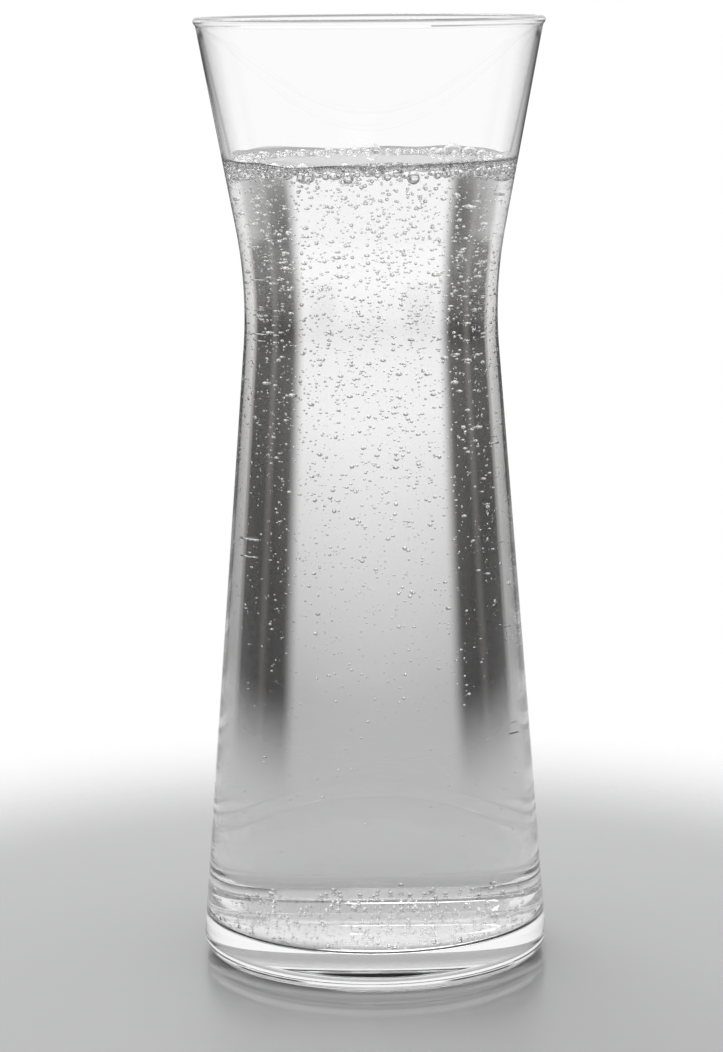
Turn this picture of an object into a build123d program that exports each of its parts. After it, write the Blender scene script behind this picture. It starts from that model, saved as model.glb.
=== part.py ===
from build123d import *

import math
import os

# Hourglass carafe of clear glass with sparkling water in it.
# Millimetres, +Z up. The origin is the middle of the resting ring, on the table.

# Outside of the vessel
carafe_height = 260.0
foot_radius = 48.5  # where the taper would meet the table, before its corner is rounded
heel_radius = 5.0  # round between the resting ring and the side
waist_radius = 34.75  # narrowest place outside
flare_height = 80.0  # from the waist up to the top
waist_bend = 127.0  # radius of the long bend outside, between the taper and the flare
rim_radius = 47.35  # outside of the wall at the height of the bead's middle

# Thickness of the glass, measured level
base_thickness = 10.0
wall_foot = 3.2
wall_waist = 2.3
wall_rim = 1.2
bead_radius = 1.05  # fire-polished edge, a little fatter than the wall that carries it
bead_blend = 1.5  # hollow round under the bead, on both faces of the wall
floor_round = 4.0  # round inside, between the floor and the wall

# Underside
ring_width = 3.5  # flat ring that the carafe stands on, inside the heel
push_up = 1.2  # rise of the shallow dome inside the ring

# Contents
headspace = 39.0  # from the water's level up to the top of the bead
meniscus_rise = 2.3  # how far the water climbs the glass
meniscus_reach = 4.5  # how far from the glass the climb starts

waist_height = carafe_height - flare_height
bead_height = carafe_height - bead_radius
bead_middle = rim_radius - wall_rim / 2
ring_inner_radius = foot_radius - heel_radius - ring_width
inner_waist_radius = waist_radius - wall_waist
inner_waist_bend = waist_bend + wall_waist
inner_rim_radius = rim_radius - wall_rim
water_level = carafe_height - headspace
contact_height = water_level + meniscus_rise


def tangent_point(start, centre, radius, turn):
    """Return where the line from start touches the circle; turn is 1 or -1 for its two tangents."""
    to_centre = Vector(*centre) - Vector(*start)
    half_angle = math.degrees(math.asin(radius / to_centre.length))
    reach = math.sqrt(to_centre.length**2 - radius**2)
    return Vector(*start) + to_centre.rotate(Axis.Z, turn * half_angle).normalized() * reach


def draw_side(start, corner, corner_round, waist, bend, rim):
    """Draw one face of the wall, from start round the lower corner and up to the rim.

    The taper and the flare are straight, and both run tangent into the bend at the waist.
    """
    bend_centre = (waist + bend, waist_height)
    taper_top = tangent_point(corner, bend_centre, bend, 1)
    flare_foot = tangent_point(rim, bend_centre, bend, -1)
    FilletPolyline(start, corner, taper_top, radius=corner_round)
    TangentArc(taper_top, flare_foot, tangent=taper_top - Vector(*corner))
    Line(flare_foot, rim)


def draw_inside():
    """Draw the inner face: the level floor, its round, and the wall up to the bead."""
    draw_side(
        start=(0, base_thickness),
        corner=(foot_radius - wall_foot, base_thickness),
        corner_round=floor_round,
        waist=inner_waist_radius,
        bend=inner_waist_bend,
        rim=(inner_rim_radius, bead_height),
    )


# Vessel: one piece of glass, from the domed underside to the bead
with BuildPart() as glass_body:
    with BuildSketch(Plane.XZ) as section:
        with BuildLine():
            dome = TangentArc((0, push_up), (ring_inner_radius, 0), tangent=(1, 0))
            draw_side(
                start=dome @ 1,
                corner=(foot_radius, 0),
                corner_round=heel_radius,
                waist=waist_radius,
                bend=waist_bend,
                rim=(rim_radius, bead_height),
            )
            Line((rim_radius, bead_height), (inner_rim_radius, bead_height))
            draw_inside()
            Line((0, push_up), (0, base_thickness))
        make_face()
        with Locations((bead_middle, bead_height)):
            Circle(bead_radius)
        # The two hollow corners where the bead's round leaves the wall
        bead_foot = bead_height - bead_radius
        corners = section.vertices().filter_by_position(Axis.Y, bead_foot, bead_foot + bead_radius / 2)
        fillet(corners, radius=bead_blend)
    revolve(axis=Axis.Z)
glass_body.part.label = "glass_body"

# Water: fills the inside up to its level, and climbs the glass all round
with BuildPart() as sparkling_water:
    with BuildSketch(Plane.XZ):
        with BuildLine():
            draw_inside()
            Line((inner_rim_radius, bead_height), (0, bead_height))
            Line((0, bead_height), (0, base_thickness))
        make_face()
    revolve(axis=Axis.Z)
    split(bisect_by=Plane.XY.offset(contact_height), keep=Keep.BOTTOM)
    contact_radius = sparkling_water.edges().sort_by(Axis.Z)[-1].radius
    with BuildSketch(Plane.XZ):
        with BuildLine():
            meniscus_start = (contact_radius - meniscus_reach, water_level)
            level = Line((0, water_level), meniscus_start)
            meniscus = TangentArc(level @ 1, (contact_radius, contact_height), tangent=(1, 0))
            Polyline(meniscus @ 1, (contact_radius, carafe_height), (0, carafe_height), level @ 0)
        make_face()
    revolve(axis=Axis.Z, mode=Mode.SUBTRACT)
sparkling_water.part.label = "sparkling_water"

os.makedirs("parts", exist_ok=True)
export_step(glass_body.part, "parts/glass_body.step")
export_step(sparkling_water.part, "parts/sparkling_water.step")

cubic_mm_per_litre = 1e6
litres = sparkling_water.part.volume / cubic_mm_per_litre
print(f"glass {glass_body.part.volume:.0f} mm3, water {litres:.3f} litres")
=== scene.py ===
import math

import bpy
import numpy as np
from mathutils import Matrix, Vector


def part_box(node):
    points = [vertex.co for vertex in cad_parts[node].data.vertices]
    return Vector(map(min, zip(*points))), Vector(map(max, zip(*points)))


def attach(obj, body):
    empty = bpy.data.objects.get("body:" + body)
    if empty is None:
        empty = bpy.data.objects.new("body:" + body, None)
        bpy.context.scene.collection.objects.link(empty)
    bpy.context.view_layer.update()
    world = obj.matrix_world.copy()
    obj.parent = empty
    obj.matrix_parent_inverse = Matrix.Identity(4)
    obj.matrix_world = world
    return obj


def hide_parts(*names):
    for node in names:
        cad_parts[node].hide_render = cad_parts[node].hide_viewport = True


# An hourglass carafe of clear glass, full of sparkling water, standing on a pale floor.
# Metres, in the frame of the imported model, with the carafe's axis on Z.

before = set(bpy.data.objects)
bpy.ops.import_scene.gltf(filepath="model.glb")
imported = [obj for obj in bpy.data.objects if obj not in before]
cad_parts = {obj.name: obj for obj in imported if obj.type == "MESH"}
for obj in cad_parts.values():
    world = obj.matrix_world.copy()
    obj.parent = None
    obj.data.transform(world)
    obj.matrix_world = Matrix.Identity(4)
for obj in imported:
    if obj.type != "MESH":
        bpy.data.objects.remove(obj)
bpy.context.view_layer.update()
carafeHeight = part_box("glass_body")[1].z
mm = 0.001
fullTurn = 2 * math.pi
print("frame loaded, carafe height", round(carafeHeight, 4))


# sRGB hex to linear: a channel is c / 12.92 when small, else ((c + 0.055) / 1.055) to the power 2.4
def linearColour(hexCode):
    channels = np.array([int(hexCode[i:i + 2], 16) for i in (1, 3, 5)]) / 255
    linear = np.where(channels <= 0.04045, channels / 12.92, ((channels + 0.055) / 1.055) ** 2.4)
    return (*linear.tolist(), 1.0)


# Adds a node, sets its properties or input values by name, and links inputs from other outputs
def addNode(tree, kind, settings=None, links=None):
    node = tree.nodes.new(kind)
    for key, value in (settings or {}).items():
        if isinstance(key, str) and hasattr(node, key):
            setattr(node, key, value)
        else:
            node.inputs[key].default_value = value
    for key, source in (links or {}).items():
        tree.links.new(source, node.inputs[key])
    return node


# A node material with nothing in it yet
def emptyMaterial(name):
    material = bpy.data.materials.new(name)
    material.use_nodes = True
    material.node_tree.nodes.clear()
    return material


# A mesh object from arrays, shaded smooth; edges between two vertices marked sharp are creases
def smoothMesh(name, vertices, faces, sharp=None):
    mesh = bpy.data.meshes.new(name)
    mesh.from_pydata(vertices, [], faces)
    mesh.polygons.foreach_set("use_smooth", np.ones(len(mesh.polygons), bool))
    if sharp is not None:
        ends = np.zeros(len(mesh.edges) * 2, np.int32)
        mesh.edges.foreach_get("vertices", ends)
        crease = mesh.attributes.new("sharp_edge", "BOOLEAN", "EDGE")
        crease.data.foreach_set("value", sharp[ends.reshape(-1, 2)].all(1))
    mesh.update()
    piece = bpy.data.objects.new(name, mesh)
    bpy.context.scene.collection.objects.link(piece)
    return piece


# Outline of the vessel, as distances from the axis and heights

vessel = dict(
    footRadius=48.5 * mm,  # where the taper would meet the floor
    heelRound=5.0 * mm,
    waistRadius=34.75 * mm,
    flareHeight=80.0 * mm,  # from the waist up to the top
    waistBend=127.0 * mm,
    rimRadius=47.35 * mm,  # outside, at the height of the bead's middle
    baseThickness=10.0 * mm,
    wallFoot=3.2 * mm,
    wallWaist=2.3 * mm,
    wallRim=1.2 * mm,
    beadRadius=1.05 * mm,  # the fire-polished edge
    beadBlend=1.5 * mm,
    floorRound=4.0 * mm,
    ringWidth=3.5 * mm,  # flat ring that the carafe rests on
    pushUp=1.2 * mm,  # rise of the dome inside that ring
    segments=256,
    domeSteps=13,  # from here on, how many points each stretch of the outline has
    ringSteps=2,
    cornerSteps=14,
    bendSteps=18,
    runSteps=(12, 10),  # taper and flare
    blendSteps=8,
    beadSteps=26,
    floorSteps=9,
    waver=0.03 * mm,  # slow unevenness of the inner face, from the mould and the blow
    waverLobes=(2, 3, 5, 8, 13),
    waverTwist=6.0,  # most that a lobe turns from the foot up to the rim, in radians
    waverFade=15 * mm,  # height over which it sets in at the floor and dies away at the bead
    waverSeed=11,
)
beadHeight = carafeHeight - vessel["beadRadius"]
waistHeight = carafeHeight - vessel["flareHeight"]
outerRim = np.array([vessel["rimRadius"], beadHeight])
innerRim = outerRim - [vessel["wallRim"], 0]
beadMiddle = (outerRim + innerRim) / 2


# Points on a circle: centre plus radius times cosine and sine of evenly spaced angles
def arcPoints(centre, radius, start, stop, count):
    angle = np.linspace(start, stop, count)
    return np.stack([centre[0] + radius * np.cos(angle), centre[1] + radius * np.sin(angle)], 1)


# Points on a straight line, without its two ends: start times (1 - t) plus stop times t
def linePoints(start, stop, count):
    share = np.linspace(0, 1, count + 2)[1:-1, None]
    return np.array(start) * (1 - share) + np.array(stop) * share


# Where the line from start touches a circle: it is turned off the line to the centre by the arcsine of
# radius / distance
def tangentPoint(start, centre, radius, turn):
    toCentre = np.array(centre) - np.array(start)
    distance = np.hypot(*toCentre)
    angle = math.atan2(toCentre[1], toCentre[0]) + turn * math.asin(radius / distance)
    reach = math.sqrt(distance ** 2 - radius ** 2)
    return np.array(start) + reach * np.array([math.cos(angle), math.sin(angle)])


# One face of the wall: a round at its lower corner, a straight taper, the waist's arc and a straight
# flare. The taper and the flare are the tangents from the corner and from the rim to the waist's circle.
def wallSide(corner, cornerRound, waist, bend, rimPoint, runSteps=vessel["runSteps"]):
    centre = (waist + bend, waistHeight)
    taperTop = tangentPoint(corner, centre, bend, 1)
    flareFoot = tangentPoint(rimPoint, centre, bend, -1)
    lean = math.atan2(corner[0] - taperTop[0], taperTop[1] - corner[1])
    setBack = cornerRound * math.tan((math.pi / 2 + lean) / 2)
    roundCentre = (corner[0] - setBack, corner[1] + cornerRound)
    cornerArc = arcPoints(roundCentre, cornerRound, -math.pi / 2, lean, vessel["cornerSteps"])
    lowAngle = math.atan2(taperTop[1] - centre[1], taperTop[0] - centre[0]) % fullTurn
    highAngle = math.atan2(flareFoot[1] - centre[1], flareFoot[0] - centre[0]) % fullTurn
    return np.concatenate([
        cornerArc,
        linePoints(cornerArc[-1], taperTop, runSteps[0]),
        arcPoints(centre, bend, lowAngle, highAngle, vessel["bendSteps"]),
        linePoints(flareFoot, rimPoint, runSteps[1]),
    ])


# The outer face, from the resting ring up to the bead
def outsideFace():
    return wallSide((vessel["footRadius"], 0.0), vessel["heelRound"], vessel["waistRadius"],
                    vessel["waistBend"], outerRim)


# The inner face, moved into the glass by grow
def insideFace(grow=0.0, runSteps=vessel["runSteps"]):
    corner = (vessel["footRadius"] - vessel["wallFoot"] + grow, vessel["baseThickness"] - grow)
    return wallSide(corner, vessel["floorRound"] + grow, vessel["waistRadius"] - vessel["wallWaist"] + grow,
                    vessel["waistBend"] + vessel["wallWaist"] - grow, innerRim + [grow, 0], runSteps)


# Distance from the axis to the inner face, read off its outline at a height
def innerRadiusAt(height):
    face = insideFace()
    return np.interp(height, face[:, 1], face[:, 0])


# The hollow round between a wall face and the bead: its centre is one blend off the wall's line, and
# blend plus bead radius from the bead's middle
def beadBlendArc(wallPoint, alongWall, outwards):
    blend, bead = vessel["beadBlend"], vessel["beadRadius"]
    toMiddle = beadMiddle - wallPoint
    step = toMiddle @ alongWall - math.sqrt((bead + blend) ** 2 - (blend - toMiddle @ outwards) ** 2)
    centre = wallPoint + step * alongWall + blend * outwards
    startAngle = math.atan2(-outwards[1], -outwards[0])
    toBead = beadMiddle - centre
    turn = (math.atan2(toBead[1], toBead[0]) - startAngle + math.pi) % fullTurn - math.pi
    return arcPoints(centre, blend, startAngle, startAngle + turn, vessel["blendSteps"])


# A vector divided by its length
def unit(vector):
    return vector / np.hypot(*vector)


# The whole section, from the middle of the underside round the outside and over the bead to the middle
# of the floor, and how much each of its points wavers: only the inner face does, away from its two ends
def glassOutline():
    ringInner = vessel["footRadius"] - vessel["heelRound"] - vessel["ringWidth"]
    share = np.linspace(0, 1, vessel["domeSteps"], endpoint=False)
    dome = np.stack([ringInner * share, vessel["pushUp"] * (1 - share ** 2)], 1)
    outside, inside = outsideFace(), insideFace()
    outerRise, innerRise = unit(outerRim - outside[-1]), unit(innerRim - inside[-1])
    outerArc = beadBlendArc(outerRim, outerRise, np.array([outerRise[1], -outerRise[0]]))
    innerArc = beadBlendArc(innerRim, innerRise, np.array([-innerRise[1], innerRise[0]]))
    gap = 0.2 * mm  # left free under the blends, so that no two points fall together
    outside = outside[outside[:, 1] < outerArc[0, 1] - gap]
    inside = inside[inside[:, 1] < innerArc[0, 1] - gap]
    overBead = [math.atan2(*(arc[-1] - beadMiddle)[::-1]) for arc in (outerArc, innerArc)]
    bead = arcPoints(beadMiddle, vessel["beadRadius"], overBead[0], overBead[1] % fullTurn,
                     vessel["beadSteps"])[1:-1]
    inwards = np.linspace(1, 0, vessel["floorSteps"] + 1)[1:]
    floor = np.stack([inside[0, 0] * inwards, np.full(len(inwards), inside[0, 1])], 1)
    outline = np.concatenate([
        dome, [[ringInner, 0.0]], linePoints((ringInner, 0.0), outside[0], vessel["ringSteps"]),
        outside, outerArc, bead, innerArc[::-1], inside[::-1], floor,
    ])
    rise = (inside[:, 1] - vessel["baseThickness"]) / vessel["waverFade"]
    drop = (innerArc[0, 1] - inside[:, 1]) / vessel["waverFade"]
    waver = np.zeros(len(outline))
    first = len(outline) - len(floor) - len(inside)
    waver[first:first + len(inside)] = np.clip(np.minimum(rise, drop), 0, 1)[::-1]
    return outline, waver


# Unevenness round the axis: a sum of cosines, each lobe with its own phase and a slow twist up the wall
def unevenness(angle, height):
    draw = np.random.default_rng(vessel["waverSeed"])
    total = np.zeros(np.broadcast(angle, height).shape)
    for lobes in vessel["waverLobes"]:
        phase = draw.uniform(0, fullTurn)
        twist = draw.uniform(-vessel["waverTwist"], vessel["waverTwist"])
        total += np.cos(lobes * angle + phase + twist * height / carafeHeight) / math.sqrt(lobes)
    return total


# A closed surface of revolution: point (i, j) is the outline's point i, moved outwards by shift and
# turned by angle j. The outline starts and ends on the axis, where a ring shrinks to one point.
def revolvedGrid(outline, segments, shift=None):
    ring = outline[1:-1]
    angle = np.linspace(0, fullTurn, segments, endpoint=False)[None]
    radius = np.repeat(ring[:, :1], segments, 1)
    height = np.repeat(ring[:, 1:], segments, 1)
    if shift is not None:
        radius = radius + shift[1:-1, None] * unevenness(angle, height)
    grid = np.stack([radius * np.cos(angle), radius * np.sin(angle), height], -1).reshape(-1, 3)
    poles = [[0, 0, outline[0, 1]], [0, 0, outline[-1, 1]]]
    index = np.arange(len(grid)).reshape(len(ring), segments)
    turned = np.roll(index, -1, 1)
    quads = np.stack([index[:-1], turned[:-1], turned[1:], index[1:]], -1).reshape(-1, 4)
    lowCap = np.stack([np.full(segments, len(grid)), turned[0], index[0]], -1)
    highCap = np.stack([np.full(segments, len(grid) + 1), index[-1], turned[-1]], -1)
    return np.concatenate([grid, poles]), quads.tolist() + lowCap.tolist() + highCap.tolist()


# Soda-lime glass, blown and fire-polished: colourless, sharp and glossy. Faint upright waves from the
# mould make reflections waver, and dry water marks dull it here and there.
def sodaLimeGlass():
    look = dict(
        colour="#FDFDFD",
        ior=1.52,
        waveWidth=16 * mm,
        stretch=0.1,  # the waves run ten times as far up as round
        waveDetail=2.0,
        waveDepth=0.006 * mm,
        markSize=7 * mm,
        markDetail=6.0,
        markFineness=0.7,
        markEdge=(0.62, 0.8),  # height of the noise at which a mark starts, and at which it is fullest
        markRoughness=0.05,
    )
    material = emptyMaterial("blownSodaLimeGlass")
    tree = material.node_tree
    place = addNode(tree, "ShaderNodeTexCoord")
    upright = addNode(tree, "ShaderNodeMapping", {"Scale": (1, 1, look["stretch"])},
                      {"Vector": place.outputs["Object"]})
    waves = addNode(tree, "ShaderNodeTexNoise",
                    {"Scale": 1 / look["waveWidth"], "Detail": look["waveDetail"]},
                    {"Vector": upright.outputs[0]})
    bump = addNode(tree, "ShaderNodeBump", {"Distance": look["waveDepth"]}, {"Height": waves.outputs["Fac"]})
    marks = addNode(tree, "ShaderNodeTexNoise",
                    {"Scale": 1 / look["markSize"], "Detail": look["markDetail"],
                     "Roughness": look["markFineness"]},
                    {"Vector": place.outputs["Object"]})
    dulled = addNode(tree, "ShaderNodeMapRange",
                     {"From Min": look["markEdge"][0], "From Max": look["markEdge"][1],
                      "To Max": look["markRoughness"]},
                     {"Value": marks.outputs["Fac"]})
    shader = addNode(tree, "ShaderNodeBsdfPrincipled",
                     {"Base Color": linearColour(look["colour"]), "IOR": look["ior"],
                      "Transmission Weight": 1.0},
                     {"Roughness": dulled.outputs[0], "Normal": bump.outputs[0]})
    addNode(tree, "ShaderNodeOutputMaterial", links={"Surface": shader.outputs[0]})
    return material


# The vessel: its section revolved, with the inner face wavering
def makeGlass():
    outline, waver = glassOutline()
    vertices, faces = revolvedGrid(outline, vessel["segments"], waver * vessel["waver"])
    glass = smoothMesh("glassBody", vertices, faces)
    glass.data.materials.append(sodaLimeGlass())
    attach(glass, "root")
    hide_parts("glass_body")
    print("glass made,", len(faces), "faces")


# Water, with the skin that it has at the top

water = dict(
    headspace=39.0 * mm,  # from the level up to the carafe's top
    meniscusRise=1.5 * mm,
    meniscusReach=4.0 * mm,  # how far from the glass the climb starts
    meniscusSteepness=0.92,  # 1 would end the climb upright against the glass
    contactWaver=0.35,  # share of the climb by which the contact line goes up and down round the glass
    overlap=0.1 * mm,  # into the glass, so that no air is left between them
    segments=320,
    floorRings=7,
    skinRings=40,
    skinCrowding=1.3,  # above 1 brings the skin's rings closer together near the glass
    runSteps=(2, 2),  # points on the taper and the flare: few, to leave the triangles to the bubbles
)
waterLevel = carafeHeight - water["headspace"]

# Foam domes on the surface. Each big one is a share of the way to the glass, an angle from the front with
# right positive, and a radius in millimetres. Small ones are drawn against the glass and among them.
foam = dict(
    big=[
        (0.80, 14, 1.6), (0.94, 5, 1.2), (0.82, -12, 1.5), (0.93, -30, 1.6), (0.95, -44, 1.5),
        (0.95, 42, 1.4), (0.90, 179, 2.8), (0.88, 171, 1.3), (0.90, 187, 1.6), (0.80, 181, 1.2),
        (0.90, 200, 1.7), (0.93, 213, 1.4), (0.86, 146, 1.8), (0.93, 137, 3.2), (0.80, 138, 1.9),
        (0.93, 126, 2.4), (0.84, 130, 1.3), (0.93, 116, 1.7), (0.93, -120, 1.6), (0.94, -100, 1.2),
        (0.94, 90, 1.5), (0.95, 65, 1.3), (0.95, -70, 1.5), (0.94, 236, 1.3),
    ],
    smallCount=900,
    smallRadius=(0.35, 1.25),
    smallness=2,  # above 1 makes more of them small
    spread=0.17,  # share of the way in from the glass over which they lie
    crowding=1.7,  # above 1 brings more of them close to the glass
    glassGap=0.5 * mm,  # left free between a dome and the glass
    closest=0.75,  # least distance of two domes, as a share of their radii together
    film=0.3 * mm,  # far thicker than a real film, so that its outline shows
    filmShare=0.4,  # no film is thicker than this share of its dome's radius
    lowestLean=98,  # degrees from the crown down to the foot
    sunk=0.12,  # share of its radius by which a dome's middle lies under the skin
    collar=(0.16, 0.22),  # height and width of the water's raised collar, as shares of the radius
    dish=0.75,  # depth of the dish in the water under a dome, as a share of the radius
    largeAbove=1.3 * mm,  # radius over which a dome gets the fine grid of turns and rings
    fineDome=(20, 7),
    plainDome=(8, 3),
    seed=7,
)


# Places and sizes of the domes: the big ones as listed, the small ones drawn close to the glass, and
# none that would sit inside an earlier one
def gatherDomes():
    draw = np.random.default_rng(foam["seed"])
    reach = innerRadiusAt(waterLevel) - foam["glassGap"]
    low, high = foam["smallRadius"]
    count = foam["smallCount"]
    small = np.stack([
        1 - foam["spread"] * draw.random(count) ** foam["crowding"],
        draw.uniform(-180, 180, count),
        low + (high - low) * draw.random(count) ** foam["smallness"],
    ], 1)
    every = np.concatenate([np.array(foam["big"]), small])
    size = every[:, 2] * mm
    away = np.minimum(every[:, 0] * reach, reach - size)
    turn = np.radians(every[:, 1])
    spots = np.stack([away * np.sin(turn), -away * np.cos(turn)], 1)
    gap = np.hypot(*(spots[:, None] - spots[None]).transpose(2, 0, 1))
    crowded = gap < foam["closest"] * (size[:, None] + size[None])
    keep = ~np.tril(crowded, -1).any(1)
    return spots[keep], size[keep]


# Height of the skin: level, plus a climb up the glass along a quarter ellipse that is higher and lower
# round the glass, and at each dome a raised collar, a bell curve of the distance from its edge, less a
# dish, part of a ball
def skinHeight(x, y, domeSpots=None, domeSizes=None):
    away = np.hypot(x, y)
    contact = innerRadiusAt(waterLevel + water["meniscusRise"]) + water["overlap"]
    climb = np.clip(1 - (contact - away) / water["meniscusReach"], 0, 1)
    steep = water["meniscusSteepness"]
    rise = water["meniscusRise"] * (1 + water["contactWaver"] * unevenness(np.arctan2(y, x), 0 * x))
    height = waterLevel + rise * (1 - np.sqrt(1 - steep * climb ** 2)) / (1 - math.sqrt(1 - steep))
    if domeSpots is None:
        return height
    gap = np.hypot(x[:, None] - domeSpots[:, 0], y[:, None] - domeSpots[:, 1]) / domeSizes
    collarHeight, collarWidth = foam["collar"]
    collar = collarHeight * domeSizes * np.exp(-((gap - 1) / collarWidth) ** 2)
    dish = foam["dish"] * domeSizes * np.sqrt(np.clip(1 - gap ** 2, 0, 1))
    return height + (collar - dish).sum(1)


# Gas bubbles in the water. Radii, lifts and drops are in millimetres, and a gap is what is left free
# between a bubble and the glass.

bubbles = dict(
    wallCount=3900,  # on the glass
    wallSizes=(0.13, 0.27),  # usual radius at the floor and at the waterline
    wallGap=0.08 * mm,
    freeCount=2300,  # rising anywhere
    freeSizes=(0.15, 0.3),
    freeGap=1.5 * mm,
    smallest=0.09,  # limits of the radii of both
    largest=0.62,
    spread=0.38,  # of the logarithm of their radii
    topCrowding=0.45,  # below 1 brings more of them near the top
    endGap=2 * mm,  # kept clear above the floor and under the waterline
    floorCount=430,  # clinging to the floor
    floorSizes=(0.25, 0.55),
    floorReach=41 * mm,
    floorGap=0.1 * mm,  # to the floor
    rowCount=22,  # along the round between the floor and the wall
    rowSizes=(0.4, 0.8),
    rowReach=41.5 * mm,
    rowLift=(0.3, 1.6),  # above the floor
    collarCount=190,  # hanging under the waterline, every second one large and higher up
    collarSizes=((0.7, 1.2), (0.3, 0.6)),
    collarDrops=(0.3, 2.2),  # usual drop from the waterline to the bubble's top
    collarDropSpread=(0.4, 1.6),  # random factor on that drop
    collarTurnSpread=0.25,  # share of the step from one to the next
    collarGap=0.1 * mm,
    # large ones on the glass among the collar: angle from the front, drop and radius
    large=[
        (18, 2.3, 1.75), (-9, 2.2, 1.55), (-18, 1.7, 1.05), (7, 1.8, 1.15), (28, 1.7, 1.1),
        (-29, 2.0, 1.3), (40, 1.9, 1.2), (-43, 1.6, 1.0), (75, 2.1, 1.4), (104, 1.7, 1.1),
        (150, 2.0, 1.5), (171, 1.7, 1.1), (196, 2.1, 1.4), (228, 1.7, 1.1), (262, 2.0, 1.3),
        (295, 1.8, 1.2),
    ],
    largeGap=0.15 * mm,
    skinGap=0.12 * mm,  # least depth of a bubble's top under the water's level
    seed=23,
    # turns and rings of the ball that a bubble of at most this radius gets
    balls=[(0.25 * mm, 6, 2), (0.42 * mm, 6, 3), (0.9 * mm, 8, 4), (2.0 * mm, 14, 7)],
)


# A ball as a grid: point (i, j) is at polar angle i and turn j, with one point at each pole
def ballTemplate(turns, rings):
    lean = np.linspace(0, math.pi, rings + 1)
    outline = np.stack([np.sin(lean), -np.cos(lean)], 1)
    vertices, faces = revolvedGrid(outline, turns)
    triangles = [face for face in faces if len(face) == 3]
    quads = np.array([face for face in faces if len(face) == 4], int).reshape(-1, 4)
    return vertices, np.concatenate([quads[:, [0, 1, 2]], quads[:, [0, 2, 3]], triangles])


# Middles and radii of the bubbles. Those on the glass and the free ones grow denser with height, as a
# random share to the power topCrowding, and larger, on a straight line with a lognormal spread. The free
# and floor ones are even over their circle, as the square root of a random share. Collar bubbles that
# would meet a large one are dropped.
def gatherBubbles():
    draw = np.random.default_rng(bubbles["seed"])
    floorHeight = vessel["baseThickness"]
    depth = waterLevel - floorHeight

    def heights(count):
        rising = draw.random(count) ** bubbles["topCrowding"]
        return floorHeight + bubbles["endGap"] + (depth - 2 * bubbles["endGap"]) * rising

    def sizes(height, low, high):
        share = (height - floorHeight) / depth
        spread = draw.lognormal(0, bubbles["spread"], len(height))
        return np.clip((low + (high - low) * share) * spread, bubbles["smallest"], bubbles["largest"]) * mm

    def turns(count):
        return draw.uniform(0, fullTurn, count)

    wallHeight = heights(bubbles["wallCount"])
    wallSize = sizes(wallHeight, *bubbles["wallSizes"])
    freeHeight = heights(bubbles["freeCount"])
    freeSize = sizes(freeHeight, *bubbles["freeSizes"])
    floorSize = draw.uniform(*bubbles["floorSizes"], bubbles["floorCount"]) * mm
    rowSize = draw.uniform(*bubbles["rowSizes"], bubbles["rowCount"]) * mm
    largeTurn, largeDrop, largeSize = np.array(bubbles["large"]).T
    largeTurn = np.radians(largeTurn) - math.pi / 2
    largeSize, largeHeight = largeSize * mm, waterLevel - largeDrop * mm

    count = bubbles["collarCount"]
    beside = np.arange(count)
    isHigh = beside % 2 == 0
    highSize, lowSize = (draw.uniform(*limits, count) for limits in bubbles["collarSizes"])
    collarSize = np.where(isHigh, highSize, lowSize) * mm
    drop = np.where(isHigh, *bubbles["collarDrops"]) * mm * draw.uniform(*bubbles["collarDropSpread"], count)
    collarHeight = waterLevel - collarSize - drop
    offStep = draw.uniform(-bubbles["collarTurnSpread"], bubbles["collarTurnSpread"], count)
    collarTurn = (beside + offStep) * fullTurn / count
    apart = np.abs(np.angle(np.exp(1j * (collarTurn[:, None] - largeTurn)))) * innerRadiusAt(waterLevel)
    clear = (apart > collarSize[:, None] + largeSize).all(1)
    collarSize, collarHeight, collarTurn = collarSize[clear], collarHeight[clear], collarTurn[clear]

    groups = [
        (innerRadiusAt(wallHeight) - wallSize - bubbles["wallGap"], turns(len(wallSize)),
         wallHeight, wallSize),
        ((innerRadiusAt(freeHeight) - bubbles["freeGap"]) * np.sqrt(draw.random(len(freeSize))),
         turns(len(freeSize)), freeHeight, freeSize),
        (bubbles["floorReach"] * np.sqrt(draw.random(len(floorSize))), turns(len(floorSize)),
         floorHeight + floorSize + bubbles["floorGap"], floorSize),
        (bubbles["rowReach"] - rowSize, turns(len(rowSize)),
         floorHeight + rowSize + draw.uniform(*bubbles["rowLift"], len(rowSize)) * mm, rowSize),
        (innerRadiusAt(collarHeight) - collarSize - bubbles["collarGap"], collarTurn,
         collarHeight, collarSize),
        (innerRadiusAt(largeHeight) - largeSize - bubbles["largeGap"], largeTurn,
         largeHeight, largeSize),
    ]
    away, angle, height, size = (np.concatenate(column) for column in zip(*groups))
    height = np.minimum(height, waterLevel - bubbles["skinGap"] - size)
    return np.stack([away * np.cos(angle), away * np.sin(angle), height], 1), size


# Clear carbonated water: colourless, with a faint ripple that keeps its reflections from being perfect
def carbonatedWater():
    look = dict(colour="#FEFEFE", ior=1.333, rippleWidth=12 * mm, rippleDetail=1.0, rippleDepth=0.006 * mm)
    material = emptyMaterial("carbonatedWater")
    tree = material.node_tree
    place = addNode(tree, "ShaderNodeTexCoord")
    ripples = addNode(tree, "ShaderNodeTexNoise",
                      {"Scale": 1 / look["rippleWidth"], "Detail": look["rippleDetail"]},
                      {"Vector": place.outputs["Object"]})
    bump = addNode(tree, "ShaderNodeBump", {"Distance": look["rippleDepth"]},
                   {"Height": ripples.outputs["Fac"]})
    shader = addNode(tree, "ShaderNodeBsdfPrincipled",
                     {"Base Color": linearColour(look["colour"]), "IOR": look["ior"], "Roughness": 0.0,
                      "Transmission Weight": 1.0},
                     {"Normal": bump.outputs[0]})
    addNode(tree, "ShaderNodeOutputMaterial", links={"Surface": shader.outputs[0]})
    return material


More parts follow.
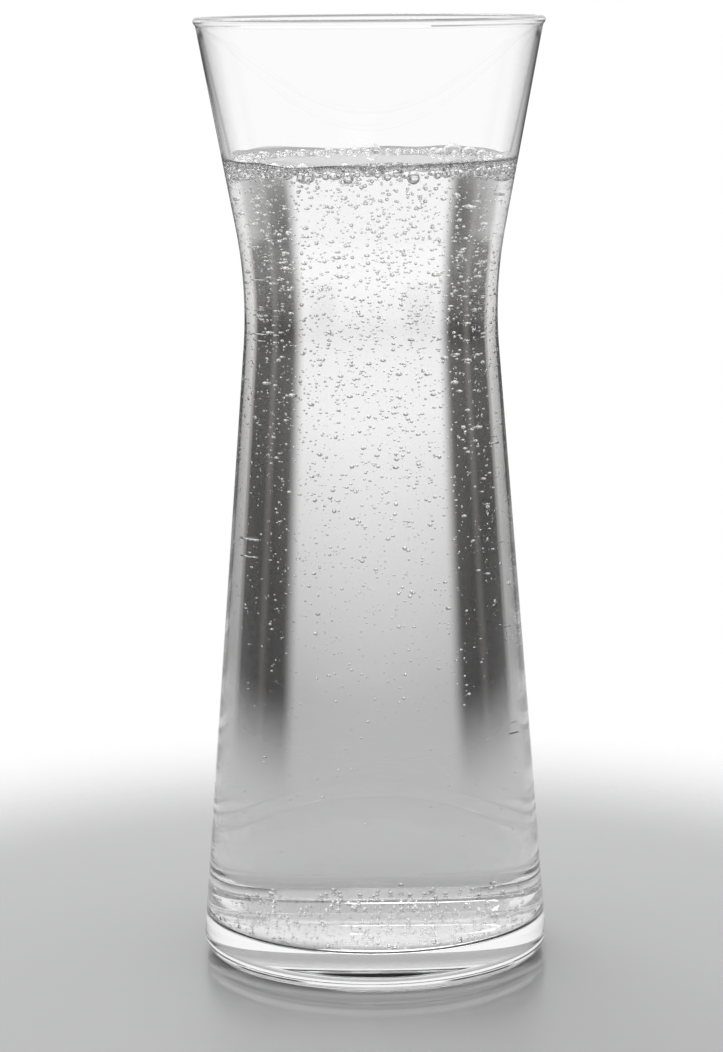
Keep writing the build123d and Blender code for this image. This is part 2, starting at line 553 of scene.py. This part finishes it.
# The body of water is revolved like the glass, with its top rings lifted to the skin's height. The
# bubbles are balls turned inside out in the same mesh, because the water is on their outside.
def makeWater(material, domeSpots, domeSizes):
    side = insideFace(water["overlap"], water["runSteps"])
    contactHeight = waterLevel + water["meniscusRise"]
    contactRadius = np.interp(contactHeight, side[:, 1], side[:, 0])
    gap = 0.3 * mm  # left free under the contact line, so that no two points fall together
    side = side[side[:, 1] < contactHeight - gap]
    outwards = np.linspace(0, 1, water["floorRings"], endpoint=False)
    floor = np.stack([side[0, 0] * outwards, np.full(len(outwards), side[0, 1])], 1)
    skinRadii = contactRadius * (1 - np.linspace(0, 1, water["skinRings"]) ** water["skinCrowding"])
    skin = np.stack([skinRadii, np.full(len(skinRadii), waterLevel)], 1)
    body, faces = revolvedGrid(np.concatenate([floor, side, skin]), water["segments"])
    firstSkin = (len(floor) + len(side) - 1) * water["segments"]
    onSkin = np.r_[firstSkin:len(body) - 2, len(body) - 1]
    body[onSkin, 2] = skinHeight(body[onSkin, 0], body[onSkin, 1], domeSpots, domeSizes)

    middles, sizes = gatherBubbles()
    vertices, cavityFaces = body, np.empty((0, 3), int)
    done = 0.0
    for limit, turns, rings in bubbles["balls"]:
        chosen = (sizes > done) & (sizes <= limit)
        done = limit
        ball, ballFaces = ballTemplate(turns, rings)
        cavities = middles[chosen, None] + sizes[chosen, None, None] * ball[None]
        offset = len(vertices) + len(ball) * np.arange(len(cavities))[:, None, None]
        cavityFaces = np.concatenate([cavityFaces, (ballFaces[None, :, ::-1] + offset).reshape(-1, 3)])
        vertices = np.concatenate([vertices, cavities.reshape(-1, 3)])
    sharp = np.zeros(len(vertices), bool)
    sharp[firstSkin:firstSkin + water["segments"]] = True
    piece = smoothMesh("sparklingWater", vertices, faces + cavityFaces.tolist(), sharp)
    piece.data.materials.append(material)
    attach(piece, "root")
    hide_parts("sparkling_water")
    print("water made,", len(sizes), "bubbles,", len(faces) * 2 + len(cavityFaces), "triangles at most")


# Thin films that float on the water, each a closed shell of an outer and an inner cap that are joined at a
# foot under the skin. Point (i, j) of a cap is on a ball, at polar angle i and turn j.
def domeShells(spots, sizes, turns, rings):
    turn = np.linspace(0, fullTurn, turns, endpoint=False)
    lean = np.linspace(0, math.radians(foam["lowestLean"]), rings + 1)[1:, None]
    cap = np.stack([np.sin(lean) * np.cos(turn), np.sin(lean) * np.sin(turn),
                    np.cos(lean) * np.ones(turns)], -1).reshape(-1, 3)
    cap = np.concatenate([cap, [[0, 0, 1]]])
    inner = np.maximum(sizes - foam["film"], (1 - foam["filmShare"]) * sizes)
    shells = np.concatenate([cap[None] * sizes[:, None, None], cap[None] * inner[:, None, None]], 1)
    middle = skinHeight(*spots.T) - foam["sunk"] * sizes
    shells += np.column_stack([spots, middle])[:, None]

    top = rings * turns
    index = np.arange(top).reshape(rings, turns)
    turned = np.roll(index, -1, 1)
    wall = np.stack([index[:-1], index[1:], turned[1:], turned[:-1]], -1).reshape(-1, 4)
    crown = np.stack([np.full(turns, top), index[0], turned[0]], -1)
    innerOffset = top + 1
    lip = np.stack([index[-1], index[-1] + innerOffset, turned[-1] + innerOffset, turned[-1]], -1)
    offset = (2 * innerOffset * np.arange(len(sizes)))[:, None, None]
    quads = np.concatenate([wall, wall[:, ::-1] + innerOffset, lip])[None] + offset
    crowns = np.concatenate([crown, crown[:, ::-1] + innerOffset])[None] + offset
    return shells.reshape(-1, 3), quads.reshape(-1, 4), crowns.reshape(-1, 3)


# The foam: the few large domes on a fine grid, and the hundreds of small ones on a plain one
def makeFoam(material, domeSpots, domeSizes):
    isLarge = domeSizes > foam["largeAbove"]
    vertices, faces = np.empty((0, 3)), []
    for chosen, grid in ((isLarge, foam["fineDome"]), (~isLarge, foam["plainDome"])):
        shells, quads, crowns = domeShells(domeSpots[chosen], domeSizes[chosen], *grid)
        faces += (quads + len(vertices)).tolist() + (crowns + len(vertices)).tolist()
        vertices = np.concatenate([vertices, shells])
    piece = smoothMesh("surfaceFoam", vertices, faces)
    piece.data.materials.append(material)
    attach(piece, "root")
    print("surface foam made,", len(domeSizes), "domes")


# Stage, in metres: a round pale floor, and a soft white studio with dark flags, which draw the edges of
# the glass and the bands at the sides of the water

stage = dict(
    floorRadius=0.28,
    floorSegments=96,
    floorFade=(0.14, 0.2772),  # distances from the axis between which the floor fades out
    floorColour="#B6B6B7",
    floorRoughness=0.2,
    roomLight=0.7,  # brightness of the studio as the floor is lit by it
    lampPower=4.5,
    lampSize=(0.9, 0.6),
    lampPlace=(-0.25, 0.7, 1.1),
    lampAim=(0, 0, 0.1),
    # brightness of the studio by angle from straight behind, in degrees, the same on both sides
    flags=[
        (0, 1.0), (15, 1.0), (19.5, 0.05), (24, 0.03), (26.5, 0.14), (29, 0.03), (38.5, 0.03), (41, 0.45),
        (44, 0.9), (57, 0.95), (61, 0.05), (70, 0.05), (75, 1.0), (105, 1.0), (110, 0.05), (119, 0.05),
        (123, 0.95), (147, 0.95), (151, 0.05), (160, 0.05), (165, 1.0), (180, 1.0),
    ],
    flagTint=(1.0, 0.9, 0.84),  # linear red, green and blue
    # What changes with the height, each from one sine of it to another, and its level at both: how much
    # of the flags shows, and the brightness of the sweep below and of the ceiling above. The ceiling
    # outlines the bubbles and the bead.
    byHeight=dict(
        flagFoot=(-0.37, -0.3, 0.0, 1.0),
        flagTop=(0.07, 0.16, 1.0, 0.0),
        sweep=(-0.29, -0.185, 0.42, 1.0),
        ceiling=(0.36, 0.6, 1.0, 0.3),
    ),
    # brightness of what the glass mirrors: a dark band just below the horizon, and white away from it
    mirrored=(0.12, 1.0),
    mirroredMiddle=-0.09,
    mirroredBand=(0.02, 0.17),
    nearWallBounces=4.5,  # a ray that is back through fewer surfaces was mirrored by the near wall
)


# A satin disc, whose edge fades out into the white behind it
def makeFloor():
    angle = np.linspace(0, fullTurn, stage["floorSegments"], endpoint=False)
    rim = stage["floorRadius"] * np.stack([np.cos(angle), np.sin(angle), np.zeros(len(angle))], 1)
    floor = smoothMesh("floor", rim, [list(range(len(angle)))])
    material = emptyMaterial("paleSatinFloor")
    tree = material.node_tree
    place = addNode(tree, "ShaderNodeTexCoord")
    away = addNode(tree, "ShaderNodeVectorMath", {"operation": "LENGTH"}, {0: place.outputs["Object"]})
    fade = addNode(tree, "ShaderNodeMapRange",
                   {"From Min": stage["floorFade"][0], "From Max": stage["floorFade"][1],
                    "interpolation_type": "SMOOTHSTEP"},
                   {"Value": away.outputs["Value"]})
    satin = addNode(tree, "ShaderNodeBsdfPrincipled",
                    {"Base Color": linearColour(stage["floorColour"]), "Roughness": stage["floorRoughness"]})
    clear = addNode(tree, "ShaderNodeBsdfTransparent")
    mix = addNode(tree, "ShaderNodeMixShader",
                  links={0: fade.outputs[0], 1: satin.outputs[0], 2: clear.outputs[0]})
    addNode(tree, "ShaderNodeOutputMaterial", links={"Surface": mix.outputs[0]})
    floor.data.materials.append(material)
    print("floor made")


# The studio has four looks: plain white for the camera, plain for light that falls on the floor, a soft
# band for what is mirrored, and the flags with the sweep and the ceiling for what is seen through glass.
# A flag's colour is its level times the tint to the power 1 - level, so that dark ones are the warmest.
def makeStudio():
    world = bpy.data.worlds.new("softStudio")
    bpy.context.scene.world = world
    world.use_nodes = True
    tree = world.node_tree
    tree.nodes.clear()
    place = addNode(tree, "ShaderNodeTexCoord")
    axes = addNode(tree, "ShaderNodeSeparateXYZ", links={0: place.outputs["Generated"]})
    height = axes.outputs["Z"]
    plainWhite = linearColour("#FFFFFF")

    around = addNode(tree, "ShaderNodeMath", {"operation": "ARCTAN2"},
                     {0: axes.outputs["X"], 1: axes.outputs["Y"]})
    offBehind = addNode(tree, "ShaderNodeMath", {"operation": "ABSOLUTE"}, {0: around.outputs[0]})
    share = addNode(tree, "ShaderNodeMath", {"operation": "DIVIDE", 1: math.pi}, {0: offBehind.outputs[0]})
    ramp = addNode(tree, "ShaderNodeValToRGB", links={0: share.outputs[0]})
    ramp.color_ramp.interpolation = "EASE"
    stops = ramp.color_ramp.elements
    stopsAtStart = len(stops)
    halfTurn = 180
    for k, (degrees, level) in enumerate(stage["flags"]):
        stop = stops[k] if k < stopsAtStart else stops.new(degrees / halfTurn)
        stop.position = degrees / halfTurn
        stop.color = (*[level * tint ** (1 - level) for tint in stage["flagTint"]], 1)

    levels = {}
    for name, (low, high, atLow, atHigh) in stage["byHeight"].items():
        levels[name] = addNode(tree, "ShaderNodeMapRange",
                               {"From Min": low, "From Max": high, "To Min": atLow, "To Max": atHigh},
                               {"Value": height}).outputs[0]
    flagShare = addNode(tree, "ShaderNodeMath", {"operation": "MINIMUM"},
                        {0: levels["flagFoot"], 1: levels["flagTop"]})
    brightness = addNode(tree, "ShaderNodeMath", {"operation": "MINIMUM"},
                         {0: levels["sweep"], 1: levels["ceiling"]})
    flagged = addNode(tree, "ShaderNodeMix", {"data_type": "RGBA", 6: plainWhite},
                      {0: flagShare.outputs[0], 7: ramp.outputs[0]})
    through = addNode(tree, "ShaderNodeBackground",
                      links={"Color": flagged.outputs[2], "Strength": brightness.outputs[0]})

    aboveMiddle = addNode(tree, "ShaderNodeMath", {"operation": "SUBTRACT", 1: stage["mirroredMiddle"]},
                          {0: height})
    offMiddle = addNode(tree, "ShaderNodeMath", {"operation": "ABSOLUTE"}, {0: aboveMiddle.outputs[0]})
    glow = addNode(tree, "ShaderNodeMapRange",
                   {"From Min": stage["mirroredBand"][0], "From Max": stage["mirroredBand"][1],
                    "To Min": stage["mirrored"][0], "To Max": stage["mirrored"][1]},
                   {"Value": offMiddle.outputs[0]})
    mirrored = addNode(tree, "ShaderNodeBackground", {"Color": plainWhite}, {"Strength": glow.outputs[0]})
    room = addNode(tree, "ShaderNodeBackground", {"Color": plainWhite, "Strength": stage["roomLight"]})
    backdrop = addNode(tree, "ShaderNodeBackground", {"Color": plainWhite, "Strength": 1.0})

    # Mirrored is a ray whose last surface reflected it, or that the near wall turned back
    rays = addNode(tree, "ShaderNodeLightPath")
    shallow = addNode(tree, "ShaderNodeMath", {"operation": "LESS_THAN", 1: stage["nearWallBounces"]},
                      {0: rays.outputs["Transmission Depth"]})
    turnedBack = addNode(tree, "ShaderNodeMath", {"operation": "MULTIPLY", "use_clamp": True},
                         {0: rays.outputs["Glossy Depth"], 1: shallow.outputs[0]})
    reflectedLast = addNode(tree, "ShaderNodeMath", {"operation": "SUBTRACT", 0: 1.0},
                            {1: rays.outputs["Is Transmission Ray"]})
    isMirrored = addNode(tree, "ShaderNodeMath", {"operation": "MAXIMUM"},
                         {0: turnedBack.outputs[0], 1: reflectedLast.outputs[0]})
    studio = addNode(tree, "ShaderNodeMixShader",
                     links={0: isMirrored.outputs[0], 1: through.outputs[0], 2: mirrored.outputs[0]})
    lit = addNode(tree, "ShaderNodeMixShader",
                  links={0: rays.outputs["Diffuse Depth"], 1: studio.outputs[0], 2: room.outputs[0]})
    seen = addNode(tree, "ShaderNodeMixShader",
                   links={0: rays.outputs["Is Camera Ray"], 1: lit.outputs[0], 2: backdrop.outputs[0]})
    addNode(tree, "ShaderNodeOutputWorld", links={"Surface": seen.outputs[0]})
    print("studio made")


# One large softbox above and behind, turned towards the carafe
def makeSoftbox():
    lamp = bpy.data.lights.new("softbox", "AREA")
    lamp.shape = "RECTANGLE"
    lamp.size, lamp.size_y = stage["lampSize"]
    lamp.energy = stage["lampPower"]
    softbox = bpy.data.objects.new("softbox", lamp)
    bpy.context.scene.collection.objects.link(softbox)
    softbox.location = stage["lampPlace"]
    softbox.rotation_euler = (Vector(stage["lampAim"]) - softbox.location).to_track_quat("-Z", "Y").to_euler()
    print("softbox made")


# Camera: in front on the -Y side, looking slightly down, as the photograph does

camera = dict(
    distance=934 * mm,
    height=274.7 * mm,
    pitch=9.393,  # degrees down
    yaw=0.188,  # degrees to the left, which puts the carafe right of the middle
    roll=0.43,  # degrees clockwise
    imageLong=1052,
    focalPixels=3413,
    sensor=36.0,
    clipStart=10 * mm,
)


# The lens in millimetres is the focal length in pixels over the image's long side, times the sensor
def makeCamera():
    lens = bpy.data.cameras.new("camera")
    lens.sensor_width = camera["sensor"]
    lens.lens = camera["focalPixels"] / camera["imageLong"] * camera["sensor"]
    lens.clip_start = camera["clipStart"]
    viewer = bpy.data.objects.new("camera", lens)
    bpy.context.scene.collection.objects.link(viewer)
    aim = Matrix.Rotation(math.radians(camera["yaw"]), 4, "Z")
    level = Matrix.Rotation(math.radians(90 - camera["pitch"]), 4, "X")
    tilt = Matrix.Rotation(-math.radians(camera["roll"]), 4, "Z")
    place = Matrix.Translation((0, -camera["distance"], camera["height"]))
    viewer.matrix_world = place @ aim @ level @ tilt
    bpy.context.scene.camera = viewer
    print("camera made, lens", round(lens.lens, 1))


makeCamera()
makeGlass()
domeSpots, domeSizes = gatherDomes()
waterLook = carbonatedWater()
makeWater(waterLook, domeSpots, domeSizes)
makeFoam(waterLook, domeSpots, domeSizes)
makeFloor()
makeStudio()
makeSoftbox()

# Bubbles and foam in water in glass need many bounces
scene = bpy.context.scene
scene.view_settings.view_transform = "Standard"
scene.cycles.max_bounces = 40
scene.cycles.transmission_bounces = 40
scene.cycles.glossy_bounces = 16
scene.cycles.transparent_max_bounces = 32
